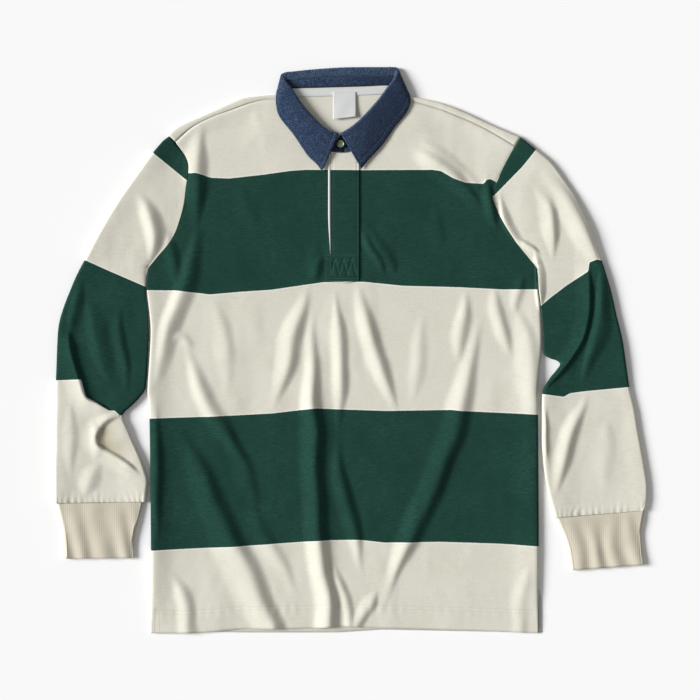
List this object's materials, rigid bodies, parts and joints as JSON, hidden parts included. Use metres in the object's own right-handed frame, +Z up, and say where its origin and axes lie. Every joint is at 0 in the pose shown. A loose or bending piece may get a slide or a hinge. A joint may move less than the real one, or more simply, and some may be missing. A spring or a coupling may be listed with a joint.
{
  "type": "long-sleeved rugby shirt",
  "caption": "Long-sleeved rugby shirt laid flat and face up, with broad colour hoops, a denim collar, a short front placket and ribbed cuffs.",
  "frame": {"origin": "bottom centre of the bounding box, on the surface that the shirt lies on", "axes": "+X across the shirt towards the wearer's left sleeve, +Y from hem to collar, +Z up out of the front panel"},
  "size_m": [0.8168, 0.7801, 0.0131],
  "materials": {
    "body_cloth": "heavy knit, matte",
    "cuff_rib": "rib knit, matte",
    "denim": "washed twill, matte",
    "white_tape": "plain weave, matte",
    "button": "smooth"
  },
  "bodies": {
    "root": {"back": "body_cloth", "front": "body_cloth", "sleeve_right": "body_cloth", "sleeve_left": "body_cloth", "placket_fly": "body_cloth", "cuff_right": "cuff_rib", "cuff_left": "cuff_rib", "collar_leaf": "denim", "collar_stand": "denim", "placket_facing": "white_tape", "neck_tape": "white_tape", "label": "white_tape", "vent_tape": "white_tape", "neck_button": "button"}
  },
  "joints": []
}
